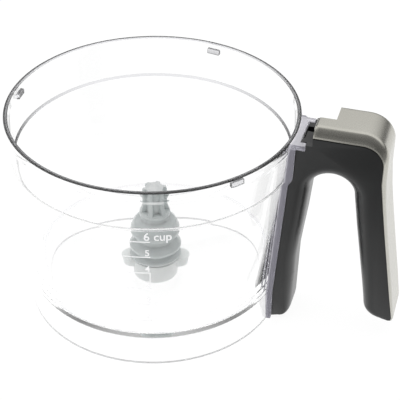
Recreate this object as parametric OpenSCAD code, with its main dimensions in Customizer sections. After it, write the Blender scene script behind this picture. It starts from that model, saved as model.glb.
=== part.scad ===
// Work bowl of a food processor: a clear bowl with a side handle, a splined drive
// spindle in the middle of its floor, a wing nut that holds the spindle's housing
// from below, and a sprung interlock rod inside the handle's leg.
// The origin is on the bowl's axis in the plane of the foot, +Z is up and +X points
// from the bowl to the handle.

/* [Bowl] */
// Outer radius of the rim
rim_r = 90; // [89:0.5:91]
// Height of the rim above the foot
rim_z = 134.8; // [134:0.2:136]
// Wall thickness of the bowl
wall = 2.6; // [2.2:0.1:2.8]
// Outer radius just below the step in the wall
step_r = 87; // [86.5:0.1:87.3]
// Height of the step above the foot
step_z = 106.4; // [104:0.2:108]
// Outer radius at the floor
floor_r = 81; // [80.5:0.1:81.2]
// Height of the floor's top face
floor_z = 22; // [21.8:0.1:22.2]
// Outer radius of the foot
foot_r = 81.8; // [81.4:0.1:82.4]
// Azimuths of the three lid lugs inside the rim
lid_lug_angles = [181, 80.5, -39.4];

/* [Handle] */
// Width of the handle
handle_w = 30.6; // [29.6:0.2:31]
// Height of the joint between the dark body and its cover
seam_z = 140; // [139:0.2:141]
// Height of the cover's flat top
cap_z = 147.6; // [147:0.2:149]
// Radius of the arch over the finger gap
arch_r = 13.5; // [13:0.1:14]
// Distance of the arch's centre from the bowl's axis
arch_x = 114; // [113.6:0.1:114.4]
// Radius of the rounded edges around the finger gap
edge_round = 9.5; // [9:0.1:9.6]
// Side of the lid's latch pocket that faces the bowl's centre line
latch_y = -2.5; // [-4:0.5:0]

/* [Hub] */
// Radius over the tips of the drive splines
spline_r = 7.6; // [7.4:0.1:7.8]
// Height of the spindle's top
spindle_z = 75.2; // [74:0.2:78]
// Outer radius of the rotating skirt
skirt_r = 15; // [14.6:0.1:15.4]
// Outer radius of the fixed hub at the floor
hub_r = 16.5; // [16.3:0.1:17]
// Radius of the drive shaft
shaft_r = 3; // [2.8:0.1:3.2]
// Radius of the socket for the motor's drive stub
socket_r = 6; // [5.5:0.1:6.5]
// Distance from the axis to the tip of a wing on the nut
wing_tip_r = 22.8; // [22:0.1:24]

/* [Interlock] */
// Travel of the push rod
rod_travel = 5; // [4:0.5:5]
// Radius of the push rod
rod_r = 2; // [1.8:0.1:2.1]

/* [Hidden] */
$fn = 96;
eps = 0.01;

// The radial gap of parts that turn or slide, and of parts that only sit together
run_gap = 0.05;
sit_gap = 0.15;
free_gap = 0.4;

// Colours
clear_grey = [0.80, 0.83, 0.86, 0.35];
charcoal = [0.22, 0.23, 0.23];
pewter = [0.72, 0.71, 0.67];
hub_grey = [0.72, 0.76, 0.76];
milk_white = [0.90, 0.91, 0.90];
steel = [0.66, 0.67, 0.69];
bronze = [0.62, 0.47, 0.27];
black_rubber = [0.08, 0.08, 0.08];

// Points of an arc in the plane, from angle a0 to a1 in n steps
function arc(c, r, a0, a1, n) =
    [for (i = [0:n]) let (a = a0 + (a1 - a0) * i / n) c + r * [cos(a), sin(a)]];

// ---- Bowl ----
floor_t = 2.5;
floor_hole_r = 13.2;
floor_fillet = 6;
step_out = 1.4;
step_chamfer = 1.2;
rim_edge = 0.6;

// Outer face of the bowl from the foot to the rim, as (radius, height)
bowl_outside = [
    [foot_r - 0.5, 0], [foot_r, 0.5], [floor_r, floor_z - 1],
    [step_r, step_z], [step_r + step_out, step_z + step_chamfer],
    [rim_r - 0.4, rim_z - 8], [rim_r, rim_z - 6],
    [rim_r, rim_z - rim_edge], [rim_r - rim_edge, rim_z]];

// Inner face of the bowl from the middle of the floor to above the rim
bowl_inside = concat(
    [[0, floor_z]],
    arc([floor_r - wall - floor_fillet, floor_z + floor_fillet], floor_fillet, -90, 0, 8),
    [[step_r - wall, step_z + 0.5], [step_r + step_out - wall, step_z + step_chamfer + 0.8],
     [rim_r - wall, rim_z - 6], [rim_r - wall, rim_z - rim_edge],
     [rim_r - wall + rim_edge, rim_z], [rim_r - wall + rim_edge, rim_z + 30], [0, rim_z + 30]]);

module bowl_core(grow = 0) {
    rotate_extrude($fn = 180) polygon(concat(
        [[0, 0]], [for (p = bowl_outside) [p[0] + grow, p[1]]], [[0, rim_z]]));
}

// A block that covers the azimuths from a - half to a + half
module wedge(a, half, reach, z0, z1) {
    rotate(a) translate([0, 0, z0]) linear_extrude(z1 - z0 + eps)
        polygon([[0, 0], reach * [cos(half), -sin(half)], [reach * 1.1, 0],
                 reach * [cos(half), sin(half)]]);
}

module ring(r_out, r_in, z0, z1, fn = 96) {
    difference() {
        translate([0, 0, z0]) cylinder(r = r_out, h = z1 - z0, $fn = fn);
        translate([0, 0, z0 - 1]) cylinder(r = r_in, h = z1 - z0 + 2, $fn = fn);
    }
}

// Lugs inside the rim that the lid turns under
lid_lug_half = 4.5;
lid_lug_in = 2.2;
module lid_lugs() {
    for (a = lid_lug_angles)
        intersection() {
            ring(rim_r - wall + 0.5, rim_r - wall - lid_lug_in, rim_z - 6.8, rim_z - 3.4, 180);
            translate([0, 0, rim_z - 7]) wedge(a, lid_lug_half, rim_r + 6, 0, 5);
        }
}

// Two ribs and a top rail that hold the handle's leg against the wall
rail_in = handle_w / 2 + 0.3;
rail_t = 2.6;
rail_side = [
    [74, 0.6], [85.4, 0.6], [86.2, floor_z], [91.6, step_z], [93.6, step_z + 4],
    [94.2, rim_z], [74, rim_z]];
module handle_rails() {
    for (s = [-1, 1])
        translate([0, s * (rail_in + rail_t / 2) + rail_t / 2, 0])
            rotate([90, 0, 0]) linear_extrude(rail_t) polygon(rail_side);
}

// Bosses that the handle screws bite into, as (y, z, outer end x)
screw_y = 9;
handle_screw_rows = [[32, 88.6], [70, 91.2]];
boss_r = 3.4;
screw_r = 1.5;
screw_head_r = 2.9;
screw_head_t = 1.6;
screw_well_r = 3.2;
screw_play = 0.2;
module bowl_bosses() {
    for (row = handle_screw_rows, s = [-1, 1])
        translate([70, s * screw_y, row[0]]) rotate([0, 90, 0])
            cylinder(r = boss_r, h = row[1] - 70, $fn = 48);
}
module bowl_boss_holes() {
    for (row = handle_screw_rows, s = [-1, 1])
        translate([row[1] - 5, s * screw_y, row[0]]) rotate([0, 90, 0])
            cylinder(r = screw_r, h = 8, $fn = 32);
}

module bowl_shell() {
    color(clear_grey) difference() {
        union() {
            difference() {
                union() {
                    bowl_core();
                    handle_rails();
                    bowl_bosses();
                }
                rotate_extrude($fn = 180) polygon(bowl_inside);
                translate([0, 0, -1]) cylinder(r = foot_r - wall, h = floor_z - floor_t + 1, $fn = 180);
            }
            lid_lugs();
        }
        translate([0, 0, floor_z - floor_t - 1]) cylinder(r = floor_hole_r, h = floor_t + 2);
        bowl_boss_holes();
    }
}

// ---- Handle ----
arch_z = 100.8;
top_round = 12.6;
cap_round = 16;
cap_x = 101.6;
latch_x = 112.5;
latch_floor_z = rim_z - 0.4;

// Side outline of the dark body, as (x, z): leg, arch, grip, tail and back
leg_edge = [[92.6, 1.6], [93.6, 4], [94.8, 48], [98.4, 78]];
grip_edge = [[130.5, 80], [133.7, 60], [136.9, 40], [139.2, 26]];
tail_c = [146, 19.4];
tail_r = 6.3;
tail_end = [156.6, 12.4];
back_edge = [[158.6, 18], [155.7, 34.5], [151.9, 58.8], [148.2, 82.3], [145.7, 99.3], [143.3, 116]];
body_outline = concat(
    [[74, 1.6]], leg_edge,
    arc([arch_x, arch_z], arch_r, 178, 2, 16),
    grip_edge, arc(tail_c, tail_r, 185, 265, 5), [tail_end, [158.4, 14]], back_edge,
    arc([129, 127.5], top_round, 0, 90, 8),
    [[cap_x, seam_z], [cap_x, rim_z], [74, rim_z]]);

// Outer line of the cover over the body's back and top
cover_back = [[159.6, 14.4], [157.1, 34.5], [153.3, 58.8], [149.7, 82.3], [147.3, 99.5], [145.9, 116]];
cover_outline = concat(
    cover_back, arc([129.5, cap_z - cap_round], cap_round, 0, 90, 10),
    [[cap_x + 1, cap_z], [cap_x, cap_z - 1], [cap_x, seam_z - 1]],
    // Back down inside the body, which is cut away from the cover
    [[126, 126], [138, 100], [143, 60], [150, 14.4]]);

module side_plate(points, w) {
    translate([0, w / 2, 0]) rotate([90, 0, 0]) linear_extrude(w) polygon(points);
}

// Edge of the finger gap as (point, how far the rounding moves it at the handle's sides);
// the leg is slimmer than the grip, so its edges are rounded less
leg_share = 0.74;
grip_share = [1, 0.95, 0.8, 0.66];
tail_share = 0.6;
function arch_share(a) = leg_share + (1 - leg_share) * (1 + cos(a)) / 2;
gap_edge = concat(
    [for (p = [[leg_edge[1][0], -20], leg_edge[1], leg_edge[2], leg_edge[3]]) [p, [-leg_share, 0]]],
    [for (i = [0:16]) let (a = 178 - 11 * i, u = [cos(a), sin(a)])
        [[arch_x, arch_z] + arch_r * u, arch_share(a) * u]],
    [for (i = [0:3]) [grip_edge[i], [grip_share[i], 0]]],
    [for (i = [0:5]) let (a = 185 + 16 * i, u = [cos(a), sin(a)]) [tail_c + tail_r * u, -tail_share * u]],
    [[[162, 11.6], [0, 0]], [[162, -20], [0, 0]]]);

// Cutter that rounds the edges of the gap on the +Y side
gap_round_steps = 7;
module gap_rounding() {
    n = len(gap_edge);
    last = gap_round_steps + 1;
    // Layers as (y, how far the edge has moved), from within the gap to beside the handle
    layers = concat(
        [[handle_w / 2 - edge_round - 0.6, -0.3]],
        [for (i = [1:gap_round_steps]) let (a = 90 * i / gap_round_steps)
            [handle_w / 2 - edge_round * (1 - sin(a)), edge_round * (1 - cos(a))]],
        [[handle_w / 2 + 2, edge_round]]);
    points = [for (l = layers, e = gap_edge) let (p = e[0] + l[1] * e[1]) [p[0], l[0], p[1]]];
    walls = [for (j = [0:last - 1], i = [0:n - 1]) let (k = (i + 1) % n)
        [j * n + i, (j + 1) * n + i, (j + 1) * n + k, j * n + k]];
    ends = [[for (i = [0:n - 1]) i], concat([last * n], [for (i = [n - 1:-1:1]) last * n + i])];
    polyhedron(points, concat(walls, ends), convexity = 6);
}

// The rod leans outwards with the bowl's wall
rod_lean = 4.55;
rod_foot_x = 86.65;
module along_rod() {
    translate([rod_foot_x, 0, 0]) rotate([0, rod_lean, 0]) children();
}

// Stations along the rod, from the foot plane
rod_rest = 6.5;
tip_len = 8;
guide_len = 12;
guide_r = 4.3;
spring_s0 = 87;
spring_s1 = 110;
pocket_r = 4.2;
pocket_top = 118.6;
button_s0 = 121;
button_top = 133.6;
rod_top = button_s0 + rod_travel + 4;

// Slot and body of the interlock housing in the leg's top
housing_x = [94.6, 101.4];
housing_half_y = 11;
housing_z = 118;
slot_half = [2.5, 6.5];

// Space that the button sweeps, leaning with the rod
module button_way() {
    along_rod() translate([-slot_half[0], -slot_half[1], button_s0 - 1.5])
        cube([2 * slot_half[0], 2 * slot_half[1], 30]);
}

module grip_hollow() {
    side_plate(concat(
        [[134.6, 84], [138.6, 58], [144.1, 24], [152, 20], [160, 20], [160, 34.5], [156, 60],
         [152, 84], [149, 110], [140, 120]],
        arc([124.5, 123.2], 10, 0, 90, 6), [[118, seam_z - 6.8], [118, 120], [127.8, 113], [132.1, 100]]),
        handle_w - 6);
}

// Screws that hold the cover, as (z, x where the head seats)
cover_screw_rows = [[40, 141], [92, 134.2]];
cover_boss_x = [149, 142];

module handle_screw_ways() {
    for (row = handle_screw_rows, s = [-1, 1]) translate([0, s * screw_y, row[0]]) rotate([0, 90, 0]) {
        translate([0, 0, 74]) cylinder(r = boss_r + sit_gap, h = row[1] - 74 + 0.1, $fn = 48);
        translate([0, 0, row[1] - 1]) cylinder(r = screw_r + screw_play, h = 5, $fn = 32);
        translate([0, 0, row[1] + screw_head_t]) cylinder(r = screw_well_r, h = 12, $fn = 48);
    }
}

module handle_grip() {
    color(charcoal) difference() {
        union() {
            difference() {
                side_plate(body_outline, handle_w);
                grip_hollow();
            }
            intersection() {
                side_plate(body_outline, handle_w);
                // Posts that the cover screws pass through
                for (i = [0, 1])
                    translate([cover_screw_rows[i][1] - 4, 0, cover_screw_rows[i][0]]) rotate([0, 90, 0])
                        cylinder(r = 5, h = cover_boss_x[i] - cover_screw_rows[i][1] + 3.6, $fn = 48);
            }
        }
        gap_rounding();
        mirror([0, 1, 0]) gap_rounding();
        bowl_core(sit_gap);
        translate([0, 0, rim_z - 1]) cylinder(r = rim_r + sit_gap, h = 4, $fn = 180);
        // Latch pocket of the lid
        translate([74, latch_y, latch_floor_z]) cube([latch_x - 74, handle_w, 30]);
        handle_screw_ways();
        // Ways of the cover screws
        for (i = [0, 1]) translate([0, 0, cover_screw_rows[i][0]]) rotate([0, 90, 0]) {
            translate([0, 0, 120]) cylinder(r = screw_well_r, h = cover_screw_rows[i][1] - 120, $fn = 48);
            translate([0, 0, 120]) cylinder(r = screw_r + screw_play, h = 60, $fn = 32);
        }
        // Rod guide, rod bore, spring pocket and button way
        along_rod() {
            translate([0, 0, -5]) cylinder(r = guide_r + sit_gap, h = rod_rest + tip_len + 6, $fn = 48);
            cylinder(r = rod_r + 0.5, h = rod_top + 1, $fn = 48);
            translate([0, 0, spring_s0]) cylinder(r = pocket_r, h = pocket_top - spring_s0 + 2, $fn = 48);
        }
        button_way();
        translate([housing_x[0] - sit_gap, -housing_half_y - sit_gap, housing_z - sit_gap])
            cube([housing_x[1] - housing_x[0] + 2 * sit_gap, 2 * (housing_half_y + sit_gap), 40]);
    }
}

module handle_cover() {
    color(pewter) difference() {
        union() {
            difference() {
                side_plate(cover_outline, handle_w);
                side_plate(body_outline, handle_w + 2);
                // Space inside the cap
                side_plate(concat(
                    [[cap_x + 12.5, seam_z - 3]],
                    [[136, 130]], arc([127.5, cap_z - cap_round], cap_round - 2.6, 20, 90, 6),
                    [[cap_x + 12.5, cap_z - 2.6]]), handle_w - 5.2);
            }
            // Posts for the cover screws
            intersection() {
                side_plate(cover_outline, handle_w);
                for (i = [0, 1]) translate([cover_boss_x[i], 0, cover_screw_rows[i][0]]) rotate([0, 90, 0])
                    cylinder(r = 4.2, h = 14, $fn = 48);
            }
        }
        for (i = [0, 1]) translate([cover_boss_x[i] - 2, 0, cover_screw_rows[i][0]]) rotate([0, 90, 0])
            cylinder(r = screw_r, h = 5.5, $fn = 32);
        translate([90, latch_y, latch_floor_z]) cube([latch_x - 90, handle_w, 30]);
        // The tail of the grip stays dark
        translate([130, -handle_w, -1]) cube([60, 2 * handle_w, 15.6]);
    }
}

// A pan-head screw along +X with its head's seat at the origin, pointing to -X
module pan_screw(length) {
    difference() {
        union() {
            translate([-length, 0, 0]) rotate([0, 90, 0]) cylinder(r = screw_r, h = length + eps, $fn = 32);
            rotate([0, 90, 0]) cylinder(r = screw_head_r, h = screw_head_t, $fn = 48);
        }
        for (a = [0, 90]) rotate([a, 0, 0]) translate([0.9, -0.4, -1.6]) cube([1, 0.8, 3.2]);
    }
}

module handle_screws() {
    color(steel) for (row = handle_screw_rows, s = [-1, 1])
        translate([row[1] + screw_head_t, s * screw_y, row[0]]) pan_screw(6.2);
}

module cover_screws() {
    color(steel) for (i = [0, 1])
        translate([cover_screw_rows[i][1], 0, cover_screw_rows[i][0]]) mirror([1, 0, 0])
            pan_screw(cover_boss_x[i] - cover_screw_rows[i][1] + 3);
}

// Plugs that close the screw wells in the finger gap, with their outer edge sloped to stay
// below the rounded surface; the handle's point to +X and the cover's to -X
plug_t = 1.1;
plug_slope = 0.6;
handle_plug_x = [91.9, 94.9];
cover_plug_x = [139.2, 131.1];
module plug() {
    cylinder(r = screw_well_r, h = plug_t - plug_slope + eps, $fn = 48);
    translate([0, 0, plug_t - plug_slope])
        cylinder(r1 = screw_well_r, r2 = screw_well_r - 1, h = plug_slope, $fn = 48);
}
module screw_plugs() {
    color(charcoal) {
        for (i = [0, 1], s = [-1, 1]) translate([handle_plug_x[i], s * screw_y, handle_screw_rows[i][0]])
            rotate([0, 90, 0]) plug();
        for (i = [0, 1]) translate([cover_plug_x[i], 0, cover_screw_rows[i][0]])
            rotate([0, -90, 0]) plug();
    }
}

// ---- Interlock ----
module interlock_housing() {
    color("black") difference() {
        union() {
            translate([housing_x[0], -housing_half_y, housing_z])
                cube([housing_x[1] - housing_x[0], 2 * housing_half_y, latch_floor_z - housing_z]);
            translate([housing_x[1] - 1.6, -housing_half_y + 8, latch_floor_z - 1])
                cube([1.6, 9.5, seam_z + 2 - latch_floor_z]);
        }
        button_way();
        along_rod() translate([0, 0, 100]) cylinder(r = rod_r + 0.4, h = 30, $fn = 48);
    }
}

module rod_button() {
    color([0.12, 0.12, 0.13]) along_rod() difference() {
        translate([-slot_half[0] + 0.35, -slot_half[1] + 0.4, button_s0 + rod_travel])
            cube([2 * slot_half[0] - 0.7, 2 * slot_half[1] - 0.8, button_top - button_s0 - rod_travel]);
        cylinder(r = rod_r, h = rod_top, $fn = 48);
        translate([-4, 3, button_top]) rotate([-35, 0, 0]) cube([8, 8, 4]);
    }
}

clip_s = spring_s1 + 0.05;
module push_rod() {
    color(steel) along_rod() difference() {
        translate([0, 0, rod_rest + 3]) cylinder(r = rod_r, h = rod_top - rod_rest - 3, $fn = 48);
        ring(rod_r + 1, rod_r - 0.4, clip_s, clip_s + 0.8, 48);
    }
}

module rod_clip() {
    color(steel) along_rod() difference() {
        ring(3.8, rod_r - 0.35, clip_s + 0.02, clip_s + 0.78, 48);
        translate([0, -0.9, clip_s - 1]) cube([6, 1.8, 3]);
    }
}

module rod_tip() {
    color(milk_white) along_rod() difference() {
        union() {
            translate([0, 0, rod_rest + 1]) cylinder(r = 2.9, h = tip_len - 1, $fn = 48);
            translate([0, 0, rod_rest]) cylinder(r1 = 2.1, r2 = 2.9, h = 1, $fn = 48);
        }
        translate([0, 0, rod_rest + 3]) cylinder(r = rod_r, h = 20, $fn = 48);
    }
}

module rod_guide() {
    color(milk_white) along_rod() difference() {
        translate([0, 0, 2.4]) cylinder(r = guide_r, h = guide_len - 0.6, $fn = 48);
        cylinder(r = 3.25, h = 40, $fn = 48);
    }
}

// Coil of the return spring, swept ring by ring
spring_mean_r = 3.05;
spring_wire_r = 0.4;
spring_turns = 8;
spring_steps = 18;
spring_sides = 6;
function coil_point(i, j) =
    let (t = i / spring_steps, a = 360 * t, b = 360 * j / spring_sides,
         r = spring_mean_r + spring_wire_r * cos(b),
         z = spring_s0 + 0.45 + (spring_s1 - spring_s0 - 0.95) * t / spring_turns + spring_wire_r * sin(b))
    [r * cos(a), r * sin(a), z];
module rod_spring() {
    n = spring_turns * spring_steps;
    points = [for (i = [0:n], j = [0:spring_sides - 1]) coil_point(i, j)];
    walls = [for (i = [0:n - 1], j = [0:spring_sides - 1]) let (k = (j + 1) % spring_sides)
        [i * spring_sides + j, i * spring_sides + k, (i + 1) * spring_sides + k, (i + 1) * spring_sides + j]];
    ends = [[for (j = [spring_sides - 1:-1:0]) j], [for (j = [0:spring_sides - 1]) n * spring_sides + j]];
    color(steel) along_rod() polyhedron(points, concat(walls, ends), convexity = 10);
}

// ---- Hub ----
shaft_z = [15, 69];
neck_r = 11;
seal_z = 48.5;
bush_r = 5;
tube_r = 12.7;
tube_in_r = 11.2;
tube_z = 3;
nut_top_z = floor_z - floor_t - 0.15;
ledge_z = 11.3;
lug_half = 17;
lug_r = 14.2;
nut_turn = 60;
nut_r = 16.4;
wing_r = 6.8;
wing_t = 8.2;
// Azimuth of the wings at rest
wing_angle = 16;

// Fixed body of the hub: flange, drip ring, neck and the tube through the floor
module hub_body() {
    color(hub_grey) difference() {
        union() {
            rotate_extrude() polygon(concat(
                [[0, tube_z], [tube_r, tube_z], [tube_r, floor_z + 1], [hub_r - 0.7, floor_z + 1],
                 [hub_r - 0.7, floor_z + 0.1], [hub_r, floor_z + 0.1]],
                arc([hub_r - 3, floor_z + 1.2], 3, 0, 80, 5),
                [[13, floor_z + 5.4], [14.6, floor_z + 6]],
                arc([14.4, floor_z + 7], 1, -60, 0, 3),
                arc([13.4, floor_z + 12], 2, 0, 70, 4),
                [[12, floor_z + 14.6], [12, floor_z + 17], [neck_r, floor_z + 18],
                 [neck_r, seal_z - 0.3], [8.6, seal_z + 2.6], [0, seal_z + 2.6]]));
            for (a = [90, 270]) intersection() {
                ring(lug_r, tube_r - 0.5, ledge_z - 3, ledge_z - 0.2);
                translate([0, 0, ledge_z - 3.1]) wedge(a, lug_half, 20, 0, 3);
            }
        }
        translate([0, 0, seal_z]) cylinder(r = 7, h = 10);
        translate([0, 0, 20]) cylinder(r = bush_r, h = 40);
        translate([0, 0, tube_z - 1]) cylinder(r = tube_in_r, h = floor_z + 4 - tube_z);
    }
}

module hub_gasket() {
    color(black_rubber) ring(hub_r - 0.9, floor_hole_r + 0.2, floor_z, floor_z + 1);
}

module shaft_bush(z0) {
    color(bronze) ring(bush_r, shaft_r + run_gap, z0, z0 + 8);
}
module lower_bush() { shaft_bush(floor_z + 3.2); }
module upper_bush() { shaft_bush(seal_z - 8.2); }

module lip_seal() {
    color(black_rubber) difference() {
        ring(7, shaft_r + run_gap, seal_z, seal_z + 2.4);
        ring(5.6, 4.1, seal_z + 0.8, seal_z + 3);
    }
}

// Rotating head: six drive splines over a flared collar and an umbrella skirt
collar_r = 9.1;
collar_z = 57.5;
skirt_z = 41.6;
head_z = seal_z + 3.7;
splines = 6;
spline_phase = 29;
module spindle_head() {
    color(hub_grey) difference() {
        union() {
            translate([0, 0, head_z]) cylinder(r = 5.7, h = spindle_z - head_z);
            intersection() {
                for (i = [0:splines - 1]) rotate(spline_phase + 360 * i / splines)
                    translate([0, -1.5, head_z]) cube([12, 3, 40]);
                rotate_extrude() polygon([
                    [0, collar_z - 1.5], [collar_r, collar_z - 1.5], [collar_r, collar_z],
                    [spline_r, collar_z + 5.5], [spline_r, spindle_z - 0.6],
                    [spline_r - 0.6, spindle_z], [0, spindle_z]]);
            }
            // Collar and skirt
            rotate_extrude() polygon(concat(
                [[0, head_z], [8.2, head_z]],
                arc([8.4, 46.6], 4.4, 80, 10, 5),
                [[12.8, skirt_z], [skirt_r - 0.3, skirt_z], [skirt_r, skirt_z + 0.4], [skirt_r, 43.6]],
                arc([8.6, 46], 6.4, 0, 70, 7),
                [[8.9, 53.8], [collar_r, 54.6], [collar_r, collar_z - 0.6],
                 [collar_r - 0.6, collar_z], [0, collar_z]]));
        }
        translate([0, 0, 40]) cylinder(r = shaft_r, h = shaft_z[1] - 40, $fn = 64);
    }
}

module spindle_shaft() {
    color(steel) difference() {
        translate([0, 0, shaft_z[0]]) cylinder(r = shaft_r, h = shaft_z[1] - shaft_z[0], $fn = 64);
        ring(shaft_r + 1, shaft_r - 0.4, floor_z + 2, floor_z + 2.8);
        translate([-10, 0, coupling_pin_z]) rotate([0, 90, 0]) cylinder(r = pin_r, h = 20, $fn = 32);
    }
}

module thrust_washer() {
    color(bronze) ring(5.6, shaft_r + run_gap, seal_z + 2.7, seal_z + 3.6);
}

module retaining_clip() {
    color(steel) difference() {
        ring(5.4, shaft_r - 0.35, floor_z + 2.05, floor_z + 2.75);
        translate([0, -1.4, floor_z]) cube([8, 2.8, 5]);
    }
}

// Coupling on the shaft's lower end with the socket for the motor's drive stub
coupling_z = [tube_z + 0.2, floor_z - 0.6];
socket_len = 11.3;
coupling_pin_z = 18;
pin_r = 1;
pin_len = 19.6;
module drive_coupling() {
    color(milk_white) difference() {
        translate([0, 0, coupling_z[0]])
            cylinder(r = tube_in_r - free_gap, h = coupling_z[1] - coupling_z[0]);
        translate([0, 0, coupling_z[0] - 1]) cylinder(r = socket_r, h = socket_len + 1, $fn = 64);
        translate([-8.6, -1.5, coupling_z[0] - 1]) cube([17.2, 3, socket_len + 1]);
        translate([0, 0, shaft_z[0]]) cylinder(r = shaft_r, h = 20, $fn = 64);
        translate([-20, 0, coupling_pin_z]) rotate([0, 90, 0]) cylinder(r = pin_r, h = 40, $fn = 32);
    }
}

module coupling_pin() {
    color(steel) translate([-pin_len / 2, 0, coupling_pin_z]) rotate([0, 90, 0])
        cylinder(r = pin_r, h = pin_len, $fn = 32);
}

// Wing nut under the floor: a quarter-turn bayonet that clamps the hub
module lock_nut() {
    color(milk_white) difference() {
        union() {
            translate([0, 0, 1.5]) cylinder(r = nut_r, h = nut_top_z - 1.5);
            translate([0, 0, nut_top_z - wing_t]) rotate(wing_angle) linear_extrude(wing_t - 0.2)
                polygon(concat(arc([wing_tip_r - wing_r, 0], wing_r, -90, 90, 14),
                               arc([wing_r - wing_tip_r, 0], wing_r, 90, 270, 14)));
        }
        cylinder(r = lug_r + 0.5, h = ledge_z);
        cylinder(r = tube_r + 0.3, h = 40);
        // Slots that let the hub's lugs through once the nut is turned
        intersection() {
            cylinder(r = lug_r + 0.3, h = 40);
            for (a = [90, 270]) wedge(a - nut_turn, lug_half + 2, 20, 0, 40);
        }
    }
}

bowl_shell();
handle_grip();
handle_cover();
handle_screws();
cover_screws();
screw_plugs();
interlock_housing();
rod_guide();
push_rod();
rod_button();
rod_clip();
rod_tip();
rod_spring();
hub_body();
hub_gasket();
lower_bush();
upper_bush();
lip_seal();
spindle_head();
spindle_shaft();
thrust_washer();
retaining_clip();
drive_coupling();
coupling_pin();
lock_nut();
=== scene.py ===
"""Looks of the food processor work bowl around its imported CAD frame. Lengths are in millimetres and are
scaled to metres when a mesh is made. Outlines of turned pieces are (radius, height)."""

import math

import bmesh
import bpy
from mathutils import Matrix, Vector


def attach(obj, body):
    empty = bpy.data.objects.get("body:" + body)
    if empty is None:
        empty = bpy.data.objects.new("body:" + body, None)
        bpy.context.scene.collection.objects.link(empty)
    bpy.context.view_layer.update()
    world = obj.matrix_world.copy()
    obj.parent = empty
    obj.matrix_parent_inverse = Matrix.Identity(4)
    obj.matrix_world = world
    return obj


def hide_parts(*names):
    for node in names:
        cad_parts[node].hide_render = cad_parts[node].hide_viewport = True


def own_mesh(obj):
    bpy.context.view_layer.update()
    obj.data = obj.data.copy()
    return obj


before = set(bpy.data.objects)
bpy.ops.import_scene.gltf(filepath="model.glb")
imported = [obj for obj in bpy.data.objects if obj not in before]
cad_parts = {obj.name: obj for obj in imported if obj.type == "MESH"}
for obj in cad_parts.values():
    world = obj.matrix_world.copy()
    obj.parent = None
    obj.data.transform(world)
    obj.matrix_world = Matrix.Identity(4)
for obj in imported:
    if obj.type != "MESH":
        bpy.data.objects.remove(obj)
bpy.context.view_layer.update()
MM = 0.001
SCENE = bpy.context.scene
COLLECTION = SCENE.collection

# ---- Camera ----
camera = bpy.data.objects.new("camera", bpy.data.cameras.new("camera"))
COLLECTION.objects.link(camera)
camera.location = (0.2019, -0.5990, 0.5236)
camera.rotation_mode = "QUATERNION"
aim = Vector((-0.2231, 0.7780, -0.5873)).to_track_quat("-Z", "Y")
camera.rotation_quaternion = aim @ Matrix.Rotation(math.radians(0.438), 3, "Z").to_quaternion()
camera.data.sensor_width = 36
camera.data.lens = 110.1
SCENE.camera = camera


# ---- Mesh helpers ----
def filleted(corners, steps=5):
    """A closed outline from (x, y) or (x, y, radius) corners, each radius turned into an arc."""
    out, n = [], len(corners)
    for i, c in enumerate(corners):
        p = Vector(c[:2])
        r = c[2] if len(c) > 2 else 0
        if r <= 0:
            out.append(tuple(p))
            continue
        a = (Vector(corners[i - 1][:2]) - p).normalized()
        b = (Vector(corners[(i + 1) % n][:2]) - p).normalized()
        half = a.angle(b) / 2
        if abs(half - math.pi / 2) < 0.01:
            out.append(tuple(p))
            continue
        reach = r / math.tan(half)
        centre = p + (a + b).normalized() * (r / math.sin(half))
        s = p + a * reach - centre
        e = p + b * reach - centre
        turn = math.atan2(s.x * e.y - s.y * e.x, s.dot(e))
        for k in range(steps + 1):
            t = turn * k / steps
            x = s.x * math.cos(t) - s.y * math.sin(t)
            y = s.x * math.sin(t) + s.y * math.cos(t)
            out.append((centre.x + x, centre.y + y))
    return out


def mesh_object(name, verts, faces):
    data = bpy.data.meshes.new(name)
    data.from_pydata([Vector(v) * MM for v in verts], [], faces)
    bm = bmesh.new()
    bm.from_mesh(data)
    bmesh.ops.remove_doubles(bm, verts=bm.verts, dist=1e-7)
    bmesh.ops.recalc_face_normals(bm, faces=bm.faces)
    bm.to_mesh(data)
    bm.free()
    obj = bpy.data.objects.new(name, data)
    COLLECTION.objects.link(obj)
    return obj


def lathe(name, profile, segments=128, radius=None):
    """A closed (r, z) outline turned round Z. radius(r, z, angle) may reshape it."""
    verts, faces, rings = [], [], []
    for r, z in profile:
        if r < 1e-6:
            rings.append([len(verts)])
            verts.append((0, 0, z))
            continue
        row = []
        for k in range(segments):
            a = 2 * math.pi * k / segments
            rr = radius(r, z, a) if radius else r
            row.append(len(verts))
            verts.append((rr * math.cos(a), rr * math.sin(a), z))
        rings.append(row)
    for i, a in enumerate(rings):
        b = rings[(i + 1) % len(rings)]
        if len(a) == 1 and len(b) == 1:
            continue
        for k in range(segments):
            n = (k + 1) % segments
            if len(a) == 1:
                faces.append((a[0], b[k], b[n]))
            elif len(b) == 1:
                faces.append((a[k], b[0], a[n]))
            else:
                faces.append((a[k], b[k], b[n], a[n]))
    return mesh_object(name, verts, faces)


def skin(name, rings):
    """Closed rings with one point count, joined in turn and capped at both ends."""
    n = len(rings[0])
    verts = [p for ring in rings for p in ring]
    faces = [tuple(range(n)), tuple(range(len(verts) - 1, len(verts) - n - 1, -1))]
    for j in range(len(rings) - 1):
        for i in range(n):
            k = (i + 1) % n
            faces.append((j * n + i, j * n + k, (j + 1) * n + k, (j + 1) * n + i))
    return mesh_object(name, verts, faces)


def prism(name, outline, y0, y1):
    """An (x, z) outline pushed from y0 to y1."""
    return skin(name, [[(x, y, z) for x, z in outline] for y in (y0, y1)])


def block(name, lo, hi):
    """A box between two opposite corners."""
    return prism(name, [(lo[0], lo[2]), (hi[0], lo[2]), (hi[0], hi[2]), (lo[0], hi[2])], lo[1], hi[1])


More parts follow.
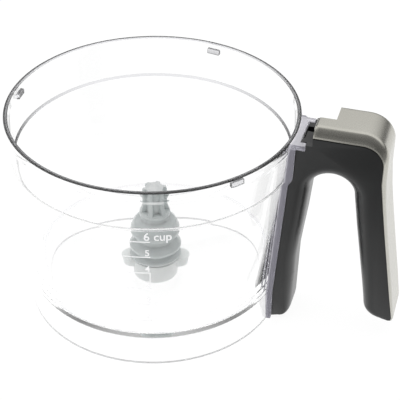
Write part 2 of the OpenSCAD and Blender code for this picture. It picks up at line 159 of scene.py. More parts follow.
def arc_lug(name, angle, half, r0, r1, z0, z1, steps=8):
    """A block between two radii and two heights, bent round Z."""
    around = [math.radians(angle - half + 2 * half * k / steps) for k in range(steps + 1)]
    ring = [(r0 * math.cos(t), r0 * math.sin(t)) for t in around]
    ring += [(r1 * math.cos(t), r1 * math.sin(t)) for t in reversed(around)]
    return skin(name, [[(x, y, z) for x, y in ring] for z in (z0, z1)])


def rod_x(name, x0, x1, y, z, r, n=48):
    """A cylinder along X."""
    around = [2 * math.pi * k / n for k in range(n)]
    return skin(name, [[(x, y + r * math.cos(a), z + r * math.sin(a)) for a in around] for x in (x0, x1)])


def bevel(obj, radius, steps):
    """Rounds the sharp edges."""
    bm = bmesh.new()
    bm.from_mesh(obj.data)
    sharp = [e for e in bm.edges if len(e.link_faces) == 2 and e.calc_face_angle(0) > math.radians(32)]
    bmesh.ops.bevel(
        bm,
        geom=sharp,
        offset=radius * MM,
        offset_type="OFFSET",
        segments=steps,
        profile=0.5,
        affect="EDGES",
        clamp_overlap=True,
    )
    bmesh.ops.recalc_face_normals(bm, faces=bm.faces)
    bm.to_mesh(obj.data)
    bm.free()
    return obj


def boolean(obj, other, operation="DIFFERENCE"):
    """Cuts, joins or intersects obj with other, which is used up."""
    mod = obj.modifiers.new("cut", "BOOLEAN")
    mod.operation = operation
    mod.solver = "EXACT"
    mod.object = other
    bpy.context.view_layer.update()
    graph = bpy.context.evaluated_depsgraph_get()
    made = bpy.data.meshes.new_from_object(obj.evaluated_get(graph))
    obj.modifiers.clear()
    obj.data = made
    made.name = obj.name
    bpy.data.objects.remove(other)
    return obj


def tidy(obj, angle=30):
    """Smooth shading with sharp edges kept, and no loose or doubled points."""
    bm = bmesh.new()
    bm.from_mesh(obj.data)
    bmesh.ops.remove_doubles(bm, verts=bm.verts, dist=2e-6)
    bmesh.ops.dissolve_degenerate(bm, edges=bm.edges, dist=1e-6)
    bmesh.ops.delete(bm, geom=[v for v in bm.verts if not v.link_faces], context="VERTS")
    bm.to_mesh(obj.data)
    bm.free()
    obj.data.shade_smooth()
    obj.data.set_sharp_from_angle(angle=math.radians(angle))
    return obj


def finish_piece(obj, body, materials, replaces=()):
    """Gives a piece its materials and body, and takes the CAD nodes that it stands for away."""
    obj.data.materials.clear()
    for m in materials:
        obj.data.materials.append(m)
    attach(obj, body)
    if replaces:
        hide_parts(*replaces)
    return obj


# ---- Materials ----
class Graph:
    """A short way to wire up nodes."""

    def __init__(self, tree):
        self.nodes = tree.nodes
        self.links = tree.links

    def node(self, kind, **inputs):
        """A node whose inputs are set from numbers or linked from other nodes' outputs."""
        made = self.nodes.new("ShaderNode" + kind)
        for key, value in inputs.items():
            self.feed(value, made.inputs[key.replace("_", " ")])
        return made

    def feed(self, value, socket):
        if isinstance(value, bpy.types.NodeSocket):
            self.links.new(value, socket)
        else:
            socket.default_value = value

    def math(self, operation, a, b):
        made = self.nodes.new("ShaderNodeMath")
        made.operation = operation
        self.feed(a, made.inputs[0])
        self.feed(b, made.inputs[1])
        return made.outputs[0]

    def ramp(self, source, stops):
        """A colour ramp of (position, colour or grey level) stops."""
        made = self.node("ValToRGB", Fac=source)
        elements = made.color_ramp.elements
        while len(elements) < len(stops):
            elements.new(0.5)
        for e, (at, value) in zip(elements, stops):
            e.position = at
            e.color = value if isinstance(value, tuple) else (value, value, value, 1)
        return made.outputs["Color"]

    def mix(self, blend, factor, a, b):
        """Two colours blended."""
        made = self.nodes.new("ShaderNodeMix")
        made.data_type = "RGBA"
        made.blend_type = blend
        self.feed(factor, made.inputs[0])
        self.feed(a, made.inputs[6])
        self.feed(b, made.inputs[7])
        return made.outputs[2]

    def mix_shader(self, factor, a, b):
        made = self.nodes.new("ShaderNodeMixShader")
        for value, socket in zip((factor, a, b), made.inputs):
            self.feed(value, socket)
        return made.outputs[0]

    def axis(self, source, name):
        """One coordinate of a vector."""
        return self.node("SeparateXYZ", Vector=source).outputs[name]


class Plastic(Graph):
    """A node material around one Principled shader, patterned in the piece's own coordinates."""

    def __init__(self, name, **sockets):
        self.material = bpy.data.materials.new(name)
        self.material.use_nodes = True
        super().__init__(self.material.node_tree)
        self.shader = self.nodes["Principled BSDF"]
        for key, value in sockets.items():
            self.set(key, value)
        self.place = self.nodes.new("ShaderNodeTexCoord").outputs["Object"]

    def set(self, key, value):
        self.feed(value, self.shader.inputs[key.replace("_", " ")])

    def noise(self, scale, detail=3.0, rough=0.5, stretch=None):
        place = self.place
        if stretch:
            place = self.node("Mapping", Vector=place, Scale=stretch).outputs["Vector"]
        return self.node("TexNoise", Vector=place, Scale=scale, Detail=detail, Roughness=rough).outputs["Fac"]

    def span(self, source, lo, hi):
        """Values from 0 to 1 spread from lo to hi."""
        return self.node("MapRange", Value=source, To_Min=lo, To_Max=hi).outputs["Result"]

    def bump(self, source, strength, distance):
        made = self.node("Bump", Strength=strength, Distance=distance, Height=source)
        self.set("Normal", made.outputs["Normal"])


DEEPEST_BEND = 5.5
WAVINESS = 0.02


def clear_plastic(name, tint_and_shade, rough=0.02, clear=1.0):
    """Clear plastic with the faint waviness of moulding. After the name comes a colour, or (facing, grey level)
    stops that go from seen square on (0) to edge on (1); a grey colour and dark stops are painted shade.
    Shadows, diffuse light and much bounced rays go straight through."""
    t = Plastic(name, Roughness=rough, IOR=1.49, Transmission_Weight=clear, Specular_Tint=(0.5, 0.5, 0.5, 1))
    if isinstance(tint_and_shade, list):
        facing = t.node("LayerWeight").outputs["Facing"]
        tint_and_shade = t.ramp(facing, [(at, (v, v, v * 1.04, 1)) for at, v in tint_and_shade])
    t.set("Base Color", tint_and_shade)
    t.bump(t.noise(38, 2, 0.4, (1, 1, 0.35)), WAVINESS, 0.0006)
    path = t.node("LightPath").outputs
    soft = t.math("MAXIMUM", path["Is Shadow Ray"], path["Is Diffuse Ray"])
    straight = t.math("MAXIMUM", soft, t.math("GREATER_THAN", path["Ray Depth"], DEEPEST_BEND))
    see_through = t.node("BsdfTransparent").outputs[0]
    surface = t.mix_shader(straight, t.shader.outputs[0], see_through)
    t.links.new(surface, t.nodes["Material Output"].inputs["Surface"])
    return t.material


def satin_charcoal():
    t = Plastic("satin_charcoal", IOR=1.5, Specular_IOR_Level=0.5)
    fine = t.noise(2600, 2, 0.6)
    cloud = t.noise(30, 4, 0.6)
    t.set("Base Color", t.ramp(cloud, [(0.3, (0.0170, 0.0178, 0.0182, 1)), (0.7, (0.0215, 0.0222, 0.0222, 1))]))
    t.set("Roughness", t.span(fine, 0.27, 0.36))
    t.bump(fine, 0.12, 0.00012)
    return t.material


def pewter_paint():
    t = Plastic("pewter_paint", Metallic=0.85, IOR=1.5)
    flake = t.noise(5200, 1, 0.5)
    cloud = t.noise(22, 3, 0.5)
    base = t.ramp(cloud, [(0.3, (0.43, 0.42, 0.375, 1)), (0.7, (0.47, 0.46, 0.415, 1))])
    t.set("Base Color", t.mix("MIX", t.span(flake, 0.0, 0.25), base, (0.58, 0.57, 0.53, 1)))
    t.set("Roughness", t.span(flake, 0.22, 0.32))
    t.bump(flake, 0.05, 0.00006)
    return t.material


def hub_plastic(name, lo, hi, rough):
    """Glossy milky grey moulding that lets a little light through."""
    t = Plastic(name, IOR=1.5, Subsurface_Weight=0.35, Subsurface_Scale=0.004)
    t.set("Subsurface Radius", (1.0, 1.05, 1.05))
    cloud = t.noise(60, 3, 0.55)
    t.set("Base Color", t.ramp(cloud, [(0.3, lo), (0.7, hi)]))
    t.set("Roughness", t.span(t.noise(180, 2, 0.5), *rough))
    t.bump(t.noise(140, 2, 0.5, (1, 1, 0.4)), 0.12, 0.0004)
    return t.material


def simple(name, lo, hi, rough, metallic=0.0, scale=900, bump=0.08):
    """A grained material between two colours and two roughnesses."""
    t = Plastic(name, Metallic=metallic)
    grain = t.noise(scale, 3, 0.6)
    t.set("Base Color", t.ramp(grain, [(0.3, lo), (0.7, hi)]))
    t.set("Roughness", t.span(grain, *rough))
    t.bump(grain, bump, 0.0001)
    return t.material


CLEAR = clear_plastic("clear_plastic", (0.996, 0.997, 0.997, 1))
# Painted shade: the rim's edge and lip, the step and the lugs are the same clear plastic, painted darker by the
# angle they are seen at, for the dark lines that light bent and trapped in the wall makes there
EDGE = clear_plastic("clear_edge_painted_shade", [(0.0, 0.02), (0.82, 0.02), (0.93, 0.3), (1.0, 0.5)], 0.12, 0.45)
LIP = clear_plastic("clear_lip_painted_shade", [(0.05, 0.9), (0.25, 0.7), (0.46, 0.12), (0.54, 0.02)], 0.10, 0.7)
STEP = clear_plastic("clear_step_painted_shade", [(0.05, 0.8), (0.25, 0.45), (0.45, 0.08), (0.62, 0.03)], 0.10, 0.8)
# Painted shade: the rails, foot and bridge are the same clear plastic painted grey, and the floor ring is
# painted a little darker edge on
RAIL = clear_plastic("clear_rail_painted_shade", (0.42, 0.41, 0.47, 1), 0.25, 0.5)
FOOT = clear_plastic("clear_foot_painted_shade", (0.66, 0.66, 0.67, 1), 0.25, 0.3)
RING = clear_plastic("clear_ring_painted_shade", [(0.1, 0.99), (0.45, 0.97), (0.75, 0.90)], 0.15, 0.85)
BRIDGE = clear_plastic("clear_bridge_painted_shade", (0.80, 0.79, 0.84, 1), 0.15, 0.45)
CHARCOAL = satin_charcoal()
PEWTER = pewter_paint()
HUB = hub_plastic("hub_plastic", (0.57, 0.61, 0.61, 1), (0.64, 0.675, 0.67, 1), (0.10, 0.18))
HEAD = hub_plastic("spindle_plastic", (0.55, 0.59, 0.59, 1), (0.62, 0.655, 0.65, 1), (0.12, 0.20))
HEAD_TOP = simple(
    "spindle_top", (0.60, 0.62, 0.62, 1), (0.74, 0.755, 0.75, 1), (0.5, 0.68), scale=420, bump=0.35
)
MILK = simple("milk_plastic", (0.80, 0.83, 0.82, 1), (0.87, 0.89, 0.88, 1), (0.28, 0.40), scale=120, bump=0.05)
NUT = hub_plastic("nut_plastic", (0.80, 0.83, 0.82, 1), (0.87, 0.89, 0.88, 1), (0.25, 0.38))
STEEL = simple(
    "zinc_steel", (0.52, 0.53, 0.55, 1), (0.64, 0.65, 0.66, 1), (0.22, 0.36), metallic=1.0, scale=700, bump=0.1
)
BRONZE = simple(
    "sintered_bronze", (0.40, 0.25, 0.10, 1), (0.52, 0.34, 0.15, 1), (0.42, 0.6),
    metallic=1.0, scale=2400, bump=0.2,
)
RUBBER = simple(
    "seal_rubber", (0.018, 0.018, 0.018, 1), (0.028, 0.028, 0.028, 1), (0.55, 0.7), scale=1500, bump=0.1
)
BLACK = simple("black_plastic", (0.010, 0.010, 0.011, 1), (0.016, 0.016, 0.017, 1), (0.32, 0.42), scale=1800)
PRINT = simple("white_print", (0.90, 0.91, 0.92, 1), (0.95, 0.95, 0.96, 1), (0.45, 0.6), scale=1200, bump=0.05)
# The print glows a little, so that it stays white where the wall is white
for socket, value in (("Emission Color", (1, 1, 1, 1)), ("Emission Strength", 0.3)):
    PRINT.node_tree.nodes["Principled BSDF"].inputs[socket].default_value = value

# ---- Bowl ----
RIM_Z = 134.8
FLOOR_Z, FLOOR_T, HUB_HOLE = 22.0, 2.5, 13.2
STEP_Z = 106.4
BRIDGE_Z = 131.2
# The rim's outer part, painted dark as painted shade, starts here
EDGE_R = 88.8
OUTSIDE = [
    (81.3, 0), (81.8, 0.5), (81.0, 21), (87.0, STEP_Z), (88.4, 107.6), (89.6, 126.8), (90.0, 128.8),
    (90, RIM_Z),
]
RAIL_Y, RAIL_T = 16.9, 2.6
LUG_ANGLES = (181, 80.5, -39.4)
LUG_Z = (128.0, 131.4)
# Bosses for the handle's screws, in pairs: height, and where the boss ends. Then their distance from the middle
BOSSES = ((32, 88.6), (70, 91.2))
BOSS_Y = 9


def outer_r(z):
    """Outer radius of the bowl at a height."""
    for (r0, z0), (r1, z1) in zip(OUTSIDE, OUTSIDE[1:]):
        if z <= z1:
            return r0 + (r1 - r0) * (z - z0) / (z1 - z0)
    return OUTSIDE[-1][0]


def bowl_surface(c, normal):
    """The material of a face of the bowl, from its middle and its normal. This places the tints with painted
    shade on the rails, rim, step, lugs, bridge, foot and floor ring.
    """
    r = math.hypot(c.x, c.y)
    if RAIL_Y - RAIL_T / 2 < abs(c.y) < 18.4 and c.x > outer_r(c.z) * 0.985:
        return RAIL
    if c.z > RIM_Z - 0.9 and EDGE_R < r < 90.2:
        return EDGE
    if c.z > RIM_Z - 0.9 and r < EDGE_R:
        return LIP
    if 107.5 < c.z < 108.9 and abs(normal.z) > 0.2 and r < 86.4:
        return STEP
    if c.z > BRIDGE_Z - 0.2 and c.x > 90.2 and abs(c.y) < RAIL_Y - RAIL_T / 2:
        return BRIDGE
    if LUG_Z[0] - 0.2 < c.z < LUG_Z[1] + 0.2 and r < 87.2:
        return STEP
    if c.z < 0.6 and r > 78.5:
        return FOOT
    if FLOOR_Z < c.z < FLOOR_Z + 1.8 and 75.8 < r < 78.6 and 0.2 < normal.z < 0.95:
        return RING
    return CLEAR


def bowl():
    """Clear bowl in one piece with its rails, bosses, bridge and lid lugs."""
    corners = [
        (79.2, 0, 0.5), (81.8, 0, 0.6), (81.0, 21, 4), (87.0, STEP_Z, 0.7), (88.4, 107.6, 0.7),
        (89.6, 126.8, 3), (90.0, 128.8, 3), (90.0, RIM_Z, 0.75), (EDGE_R, RIM_Z), (87.4, RIM_Z, 0.75),
        (87.4, 128.8, 3), (85.8, 108.4, 0.8), (84.4, 106.9, 0.8), (77.95, FLOOR_Z, 2.1),
        (HUB_HOLE, FLOOR_Z, 0.3), (HUB_HOLE, FLOOR_Z - FLOOR_T, 0.3), (79.2, FLOOR_Z - FLOOR_T, 0.5),
    ]
    shell = lathe("bowl", filleted(corners), 288)
    # Rails on both sides of the handle's leg, and the bosses between them
    heights = [0.9, 10, 21, 50, 80, 106, 108.5, 126, 129, 134.2]
    inner = [(math.sqrt((outer_r(z) - 1.3) ** 2 - RAIL_Y**2), z) for z in heights]
    outer = [(82.9, 0.9, 1.2), (82.9, 22, 8), (88.9, STEP_Z, 4), (91.4, 110.4, 4), (92.2, 134.2, 1.8)]
    side_view = filleted(outer + inner[::-1])
    for side in (-1, 1):
        y = side * RAIL_Y
        rail = bevel(prism("rail", side_view, y - RAIL_T / 2, y + RAIL_T / 2), 0.35, 3)
        boolean(shell, rail, "UNION")
        for z, x1 in BOSSES:
            x0 = math.sqrt((outer_r(z) - 1.3) ** 2 - BOSS_Y**2)
            boolean(shell, rod_x("boss", x0, x1, side * BOSS_Y, z, 3.4), "UNION")
            boolean(shell, rod_x("boss_hole", x1 - 4.5, x1 + 2, side * BOSS_Y, z, 1.5, 32))
    # Bridge over the top of the handle, open round the interlock housing
    bridge = block("bridge", (87.5, -16.2, BRIDGE_Z + 0.1), (97.5, 16.2, 134.5))
    boolean(bridge, block("cut", (93.8, -11.8, 120), (100, 11.8, 140)))
    boolean(shell, bevel(bridge, 0.35, 3), "UNION")
    # Lugs for the lid inside the rim
    for angle in LUG_ANGLES:
        boolean(shell, bevel(arc_lug("lug", angle, 2.8, 85.2, 88.6, *LUG_Z), 0.45, 3), "UNION")
    tidy(shell, 35)
    surfaces = [CLEAR, EDGE, STEP, LIP, RAIL, FOOT, RING, BRIDGE]
    finish_piece(shell, "bowl", surfaces, ["bowl_shell"])
    for f in shell.data.polygons:
        f.material_index = surfaces.index(bowl_surface(f.center / MM, f.normal))
    return shell


# ---- Handle ----
HALF_W = 15.3
SEAM_Z, CAP_Z = 140.0, 147.6
LATCH_Y, LATCH_X, LATCH_FLOOR = -2.5, 112.5, 134.4
EDGE_ROUND, SEAM_SOFT = 9.5, 0.45
ARCH_X, ARCH_Z, ARCH_R = 114.0, 100.8, 13.5
LEG_SHARE, TAIL_SHARE = 0.74, 0.7
# Foot of the push rod's axis, and the rod's lean in degrees
ROD_X, ROD_LEAN = 86.65, 4.55
# Screws that hold the cover: height, and where the way of the screw ends
COVER_SCREWS = ((40, 141), (92, 134.2))
# The line where the dark body meets the cover, and the cover's outer line, point for point
SEAM_BACK = [
    (158.45, 16.0), (158.6, 18), (155.7, 34.5), (151.9, 58.8), (148.2, 82.3), (145.7, 99.3), (143.3, 116),
]
COVER_BACK = [
    (159.6, 16.0), (159.3, 18), (157.1, 34.5), (153.3, 58.8), (149.7, 82.3), (147.3, 99.5), (145.9, 116),
]


def body_edge():
    """Side outline of the dark body as (x, z, gap move x, gap move z, seam move x, seam move z). The moves
    are shares of how far the outline steps back near the side faces, at the finger gap and at the seam."""
    out = [(74, 0.7, 0, 0, 0, 0), (82, 0.7, 0, 0.1, 0, 0)]
    for k in range(7):
        a = math.radians(-90 + 15 * k)
        u, w = math.cos(a), math.sin(a)
        out.append((86.8 + 6.8 * u, 7.5 + 6.8 * w, -0.3 * u, -0.3 * w, 0, 0))
    leg = [(93.8, 12, 0.45), (94.1, 22, 0.6)]
    leg += [(x, z, LEG_SHARE) for x, z in ((94.8, 48), (96.4, 62), (98.4, 78))]
    out += [(x, z, -share, 0, 0, 0) for x, z, share in leg]
    for k in range(33):
        a = math.radians(178 - 5.5 * k)
        u, w = math.cos(a), math.sin(a)
        share = LEG_SHARE + (1 - LEG_SHARE) * (1 + u) / 2
        out.append((ARCH_X + ARCH_R * u, ARCH_Z + ARCH_R * w, share * u, share * w, 0, 0))
    for x, z, share in ((130.5, 80, 1), (133.7, 60, 0.95), (136.9, 40, 0.85), (138.6, 29, 0.74)):
        out.append((x, z, share, 0, 0, 0))
    for k in range(11):
        a = math.radians(185 + 8 * k)
        u, w = math.cos(a), math.sin(a)
        share = TAIL_SHARE - 0.017 * k
        out.append((152.4 + 13 * u, 23.0 + 10 * w, -share * u, -share * w, 0, 0))
    out += [(153, 13.1, 0, 0.42, 0, 0), (156.6, 13.7, 0, 0.22, 0, 0), (158.4, 15.6, 0, 0.03, -0.5, 0)]
    out += [(x, z, 0, 0, -1, 0) for x, z in SEAM_BACK[1:]]
    for k in range(17):
        a = math.radians(90 * k / 16)
        u, w = math.cos(a), math.sin(a)
        out.append((130.7 + 12.6 * u, 127.4 + 12.6 * w, 0, 0, -u, -w))
    out.append((101.6, SEAM_Z, 0, 0, 0, -1))
    top = ((101.6, RIM_Z), (97.6, RIM_Z), (97.6, BRIDGE_Z), (74, BRIDGE_Z))
    return out + [(x, z, 0, 0, 0, 0) for x, z in top]


def loft_y(name, layers):
    """Closed (x, z) outlines with one point count, given as (y, outline) and joined from -Y to +Y."""
    return skin(name, [[(x, y, z) for x, z in outline] for y, outline in layers])


def both_sides(half_layers):
    """Mirrors (distance from the side face, value) layers to both sides of the handle."""
    near = [(-HALF_W + d, v) for d, v in half_layers]
    return near + [(-y, v) for y, v in reversed(near)]


def round_edge(depth, radius):
    """How far a rounded edge stands back at a depth from the side face."""
    return radius * (1 - math.sqrt(max(0.0, 1 - (1 - min(depth, radius) / radius) ** 2)))


def bowl_cutter(grow):
    profile = [(0, -1), (81.3 + grow, -1)] + [(r + grow, z) for r, z in OUTSIDE] + [(90 + grow, 138), (0, 138)]
    return lathe("cutter", profile, 288)


def along_rod(obj):
    """Leans a mesh made upright at the origin to the push rod's axis."""
    lean = Matrix.Rotation(math.radians(ROD_LEAN), 4, "Y")
    obj.data.transform(Matrix.Translation(Vector((ROD_X, 0, 0)) * MM) @ lean)
    return obj


def grip_block(name):
    """The dark body before its pockets are cut, with the finger gap's edges rounded."""
    edge = body_edge()
    depths = [0.0, 0.14, SEAM_SOFT]
    depths += [EDGE_ROUND * (1 - math.sin(math.radians(a))) for a in range(72, -1, -9)]
    layers = []
    for y, depth in both_sides([(d, d) for d in depths]):
        gap = round_edge(depth, EDGE_ROUND)
        seam = round_edge(depth, SEAM_SOFT)
        layers.append((y, [(x + gap * a + seam * c, z + gap * b + seam * e) for x, z, a, b, c, e in edge]))
    return loft_y(name, layers)


def latch_pocket():
    return block("cut", (74, LATCH_Y, LATCH_FLOOR), (LATCH_X, 30, 160))


def grip():
    """Dark handle body with the pockets and ways of what sits in it."""
    g = grip_block("grip")
    boolean(g, bowl_cutter(0.15))
    boolean(g, latch_pocket())
    # Seat of the interlock housing
    boolean(g, block("cut", (94.45, -11.15, 117.85), (101.55, 11.15, 160)))
    for z, x1 in BOSSES:
        for side in (-1, 1):
            boolean(g, rod_x("cut", x1 + 1.6, x1 + 12, side * BOSS_Y, z, 3.2))
            boolean(g, rod_x("cut", 70, x1 + 0.1, side * BOSS_Y, z, 3.55))
    for z, x1 in COVER_SCREWS:
        boolean(g, rod_x("cut", 120, x1, 0, z, 3.2))
    # Ways of the rod's guide, the rod, its spring and its button
    rod_way = [(0, -5), (4.45, -5), (4.45, 15.5), (2.5, 15.5), (2.5, 87), (4.2, 87), (4.2, 120.6), (0, 120.6)]
    boolean(g, along_rod(lathe("cut", rod_way, 64)))
    boolean(g, along_rod(block("cut", (-2.5, -6.5, 119.5), (2.5, 6.5, 149.5))))
    tidy(g, 32)
    return finish_piece(g, "bowl", [CHARCOAL], ["handle_grip"])


def plugs():
    """Six plugs that end flush with the rounded sides of the finger gap."""
    spots = [(91.6, 96.5, side * BOSS_Y, 32) for side in (-1, 1)]
    spots += [(94.4, 99.5, side * BOSS_Y, 70) for side in (-1, 1)]
    spots += [(134, 139.2, 0, 40), (126, 132.2, 0, 92)]
    whole = None
    for x0, x1, y, z in spots:
        plug = boolean(rod_x("plug", x0, x1, y, z, 3.12), grip_block("shape"), "INTERSECT")
        whole = boolean(whole, plug, "UNION") if whole else plug
    whole.name = "plugs"
    tidy(whole, 30)
    return finish_piece(whole, "bowl", [CHARCOAL], ["screw_plugs"])


def cover():
    """Painted cover over the bridge and the back of the grip."""
    seam = list(SEAM_BACK)
    outer = list(COVER_BACK)
    for k in range(1, 25):
        a = math.radians(90 * k / 24)
        seam.append((130.7 + 12.6 * math.cos(a), 127.4 + 12.6 * math.sin(a)))
        outer.append((129.9 + 16 * math.cos(a), 131.6 + 16 * math.sin(a)))
    for x, z in ((104.4, CAP_Z), (103.0, 147.4), (102.1, 146.8), (101.6, 145.8)):
        seam.append((x, SEAM_Z))
        outer.append((x, z))

    def between(part):
        """A line at a share of the way from the seam to the outer line."""
        return [(p[0] + (q[0] - p[0]) * part, p[1] + (q[1] - p[1]) * part) for p, q in zip(seam, outer)]

    # Depth from the side face, then where the inner and outer faces stand between the seam and the outer
    # line: a crisp lip, a slanted face and a round edge
    profile = [
        (0.0, 0.07, 0.22), (0.12, 0.07, 0.24), (0.9, 0.07, 0.49), (1.5, 0.016, 0.655), (2.1, 0.016, 0.80),
        (2.5, 0.016, 0.875), (2.9, 0.016, 0.93), (3.3, 0.016, 0.965), (3.8, 0.016, 0.988), (4.4, 0.016, 0.998),
        (5.2, 0.016, 1.0),
    ]
    layers = []
    for y, (inner_part, outer_part) in both_sides([(d, (a, b)) for d, a, b in profile]):
        layers.append((y, between(outer_part) + between(inner_part)[::-1]))
    c = loft_y("cover", layers)
    boolean(c, latch_pocket())
    tidy(c, 17)
    return finish_piece(c, "bowl", [PEWTER], ["handle_cover"])


# ---- Hub ----
SPLINES, SPLINE_PHASE, SPLINE_ROOT, SPLINE_R = 6, 29, 5.7, 7.6
HEAD_TOP_Z = 74.5


def smooth(lo, hi, v):
    """0 at lo and below, 1 at hi and above, with a soft start and end."""
    t = min(1.0, max(0.0, (v - lo) / (hi - lo)))
    return t * t * (3 - 2 * t)


def spline_radius(r, z, a):
    """Pulls a radius in to the spline's root between the six splines."""
    if r <= SPLINE_ROOT:
        return r
    pitch = 2 * math.pi / SPLINES
    off = (a - math.radians(SPLINE_PHASE) + pitch / 2) % pitch - pitch / 2
    return SPLINE_ROOT + (r - SPLINE_ROOT) * (1 - smooth(1.15, 1.75, abs(off) * SPLINE_R))


def spindle_head():
    """Splined head with a flared collar, and the skirt under it."""
    star = [(3.0, 54.0), (9.6, 54.0), (9.5, 57.6), (8.9, 59.6), (8.3, 61.6), (7.95, 64.0), (7.9, 73.6)]
    star += [(7.7, 74.5), (7.1, 75.1), (6.3, 75.2), (4.6, 74.95), (0, 74.95), (0, 69.0), (3.0, 69.0)]
    head = lathe("spindle_head", star, 288, spline_radius)
    skirt = filleted(
        [
            (3.0, 52.2), (8.3, 52.2, 0.6), (12.6, 47.8, 3.5), (13.3, 42.4, 0.5), (14.9, 41.4, 0.7),
            (16.0, 42.2, 0.7), (15.9, 44.6, 2.5), (13.6, 49.6, 5.5), (9.3, 51.9, 1.6), (9.2, 54.2, 1.2),
            (9.9, 55.3, 0.6), (9.9, 56.8, 0.5), (8.8, 57.7, 0.5), (3.0, 57.7),
        ],
        6,
    )
    boolean(head, lathe("skirt", skirt, 144), "UNION")
    tidy(head, 32)
    finish_piece(head, "spindle", [HEAD, HEAD_TOP], ["spindle_head"])
    for f in head.data.polygons:
        if f.center.z / MM > HEAD_TOP_Z and f.normal.z > 0.7:
            f.material_index = 1
    return head


def hub_body():
    """Fixed hub with its waists, drip ring and floor flange, and the bayonet lugs below."""
    outline = filleted(
        [
            (11.2, 3.0), (12.7, 3.0, 0.3), (12.7, 23.0), (15.7, 23.0), (15.7, 22.12), (16.9, 22.12, 0.2),
            (16.9, 23.4, 0.7), (14.6, 24.6, 1.2), (12.7, 27.0, 1.4), (14.6, 28.6, 1.0), (17.0, 29.8, 0.8),
            (17.0, 31.6, 1.0), (15.0, 34.0, 2.4), (12.4, 36.2, 1.6), (12.2, 39.8, 1.0), (11.0, 41.4, 0.8),
            (11.0, 48.3, 0.5), (8.6, 51.0, 0.4), (7.1, 51.0), (7.1, 48.5), (5.1, 48.5), (5.1, 26.0),
            (11.2, 26.0),
        ],
        6,
    )
    hub = lathe("hub", outline, 192)
    for angle in (90, 270):
        boolean(hub, arc_lug("lug", angle, 17, 12.2, 14.2, 8.3, 11.1), "UNION")
    tidy(hub, 32)
    return finish_piece(hub, "bowl", [HUB], ["hub_body"])


def rod_spring():
    """Return spring round the push rod, made at one length; the rod squeezes it from above as it goes down."""
    turns, per_turn, sides, mean, wire, s0, s1 = 8, 24, 8, 3.05, 0.4, 87.45, 109.5
    rings = []
    for i in range(turns * per_turn + 1):
        a = 2 * math.pi * i / per_turn
        s = s0 + (s1 - s0) * i / per_turn / turns
        ring = []
        for j in range(sides):
            b = 2 * math.pi * j / sides
            r = mean + wire * math.cos(b)
            ring.append((r * math.cos(a), r * math.sin(a), s + wire * math.sin(b)))
        rings.append(ring)
    spring = along_rod(skin("return_spring", rings))
    tidy(spring, 60)
    finish_piece(spring, "bowl", [STEEL], ["rod_spring"])
    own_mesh(spring)
    return spring


bowl()
grip()
plugs()
cover()
spindle_head()
hub_body()
rod_spring()

# ---- Materials of the CAD nodes that stay ----
KEEP = {
    "handle_screws": STEEL, "cover_screws": STEEL, "interlock_housing": BLACK,
    "rod_guide": MILK, "push_rod": STEEL, "rod_button": BLACK, "rod_clip": STEEL, "rod_tip": MILK,
    "hub_gasket": RUBBER, "lower_bush": BRONZE, "upper_bush": BRONZE,
    "lip_seal": RUBBER, "spindle_shaft": STEEL, "thrust_washer": BRONZE,
    "retaining_clip": STEEL, "drive_coupling": MILK, "coupling_pin": STEEL, "lock_nut": NUT,
}
for name, material in KEEP.items():
    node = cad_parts[name]
    node.data.materials.clear()
    node.data.materials.append(material)


# ---- Printed cup scale ----
PRINT_LIFT = 0.08


def wall_r(z):
    """Outer radius of the wall between the foot and the step."""
    return 81.0 + (z - 21.0) * 6.0 / 85.4


def on_wall(obj, azimuth, z0):
    """Wraps a flat mesh made in X (along the wall) and Y (up) onto the bowl's outer wall."""
    for v in obj.data.vertices:
        u, h, lift = v.co.x / MM, v.co.y / MM, v.co.z / MM
        z = z0 + h
        r = wall_r(z) + 0.03 + lift
        a = math.radians(azimuth) + u / wall_r(z)
        v.co = Vector((r * math.cos(a), r * math.sin(a), z)) * MM
    return obj


def lettering(name, text, size, azimuth, z):
    """Raised print that starts at an azimuth and stands on a height."""
    curve = bpy.data.curves.new(name, "FONT")
    curve.body = text
    curve.size = size * MM
    curve.extrude = PRINT_LIFT / 2 * MM
    curve.offset = 0.05 * MM
    curve.align_x = "LEFT"
    curve.resolution_u = 4
    source = bpy.data.objects.new(name + "_source", curve)
    COLLECTION.objects.link(source)
    graph = bpy.context.evaluated_depsgraph_get()
    data = bpy.data.meshes.new_from_object(source.evaluated_get(graph))
    bpy.data.objects.remove(source)
    data.transform(Matrix.Diagonal((0.9, 1, 1, 1)) @ Matrix.Translation((0, 0, PRINT_LIFT / 2 * MM)))
    obj = bpy.data.objects.new(name, data)
    COLLECTION.objects.link(obj)
    return on_wall(obj, azimuth, z)


def strip(name, a0, a1, z0, z1):
    """A thin raised line of print between two azimuths and two heights."""
    steps = 10
    reach = math.radians(a1 - a0) * wall_r(z0)
    section = ((0, 0), (z1 - z0, 0), (z1 - z0, PRINT_LIFT), (0, PRINT_LIFT))
    rings = [[(reach * k / steps, y, lift) for y, lift in section] for k in range(steps + 1)]
    return on_wall(skin(name, rings), a0, z0)


def cup_scale():
    """White lines and numerals on the wall."""
    marks = {6: 98.4, 5: 86.8, 4: 74.5, 3: 62.1, 2: 49.3, 1: 35.8}
    for cups, z in marks.items():
        left = -84.0 if cups % 2 else -82.6
        pieces = [strip(f"scale_line_{cups}", left, -73.4, z - 0.3, z + 0.3)]
        if cups == 6:
            pieces.append(lettering("scale_number_6", "6 cup", 8.2, -75.9, z + 1.1))
        else:
            pieces.append(lettering(f"scale_number_{cups}", str(cups), 6.6, -75.6, z + 1.0))
        for piece in pieces:
            finish_piece(piece, "bowl", [PRINT])
    finish_piece(strip("scale_riser", -73.9, -73.5, marks[3], marks[4]), "bowl", [PRINT])


cup_scale()


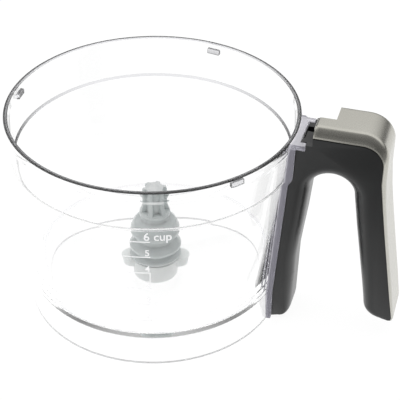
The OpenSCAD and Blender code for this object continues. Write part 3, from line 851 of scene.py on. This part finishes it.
# ---- Stage and light ----
def stage():
    """White floor and a soft studio all round."""
    size, z = 6000, -0.05
    corners = [(-size, -size, z), (size, -size, z), (size, size, z), (-size, size, z)]
    floor = mesh_object("floor", corners, [(0, 1, 2, 3)])
    t = Plastic(
        "floor_white", Base_Color=(0.12, 0.12, 0.12, 1), Roughness=0.9, Specular_IOR_Level=0.0,
        Emission_Color=(1, 1, 1, 1),
    )
    # The table in front falls off into the dark, which only reflections beside the handle show
    path = t.node("LightPath").outputs
    mirrored = t.math("SUBTRACT", path["Is Glossy Ray"], path["Is Transmission Ray"])
    mirrored.node.use_clamp = True
    fade = t.node(
        "MapRange", Value=t.axis(t.place, "Y"), From_Min=-0.185, From_Max=-0.02, To_Min=0.12, To_Max=1.05
    )
    beside = t.node(
        "MapRange", Value=t.axis(t.place, "X"), From_Min=0.055, From_Max=0.09, To_Min=0.0, To_Max=mirrored
    )
    glow = t.nodes.new("ShaderNodeMix")
    glow.inputs[2].default_value = 0.93
    t.links.new(beside.outputs["Result"], glow.inputs[0])
    t.links.new(fade.outputs["Result"], glow.inputs[3])
    t.set("Emission Strength", glow.outputs[0])
    floor.data.materials.append(t.material)

    world = bpy.data.worlds.new("studio")
    SCENE.world = world
    world.use_nodes = True
    g = Graph(world.node_tree)
    back = g.nodes["Background"]
    way = g.nodes.new("ShaderNodeTexCoord").outputs["Generated"]
    # The studio is white all round but for a dark patch on the side the picture is taken from
    toward = g.nodes.new("ShaderNodeVectorMath")
    toward.operation = "DOT_PRODUCT"
    toward.inputs[1].default_value = Vector((0.22, -0.85, 0.42)).normalized()
    g.links.new(way, toward.inputs[0])
    sky = g.ramp(g.axis(way, "Z"), [(0.0, 0.03), (0.16, 0.06), (0.36, 0.75), (0.6, 1.2), (1.0, 1.3)])
    patch = g.ramp(toward.outputs["Value"], [(0.0, 1.0), (0.62, 1.0), (0.84, 0.28), (1.0, 0.2)])
    g.links.new(g.mix("MULTIPLY", 1.0, sky, patch), back.inputs["Color"])
    plain = g.node("Background", Color=(1, 1, 1, 1))
    seen = g.node("LightPath").outputs["Is Camera Ray"]
    surface = g.mix_shader(seen, back.outputs[0], plain.outputs[0])
    g.links.new(surface, g.nodes["World Output"].inputs["Surface"])
    SCENE.view_settings.view_transform = "Standard"
    SCENE.view_settings.look = "None"
    # Light crosses the clear wall many times
    for limit in ("max_bounces", "glossy_bounces", "transmission_bounces", "transparent_max_bounces"):
        setattr(SCENE.cycles, limit, 32)


stage()
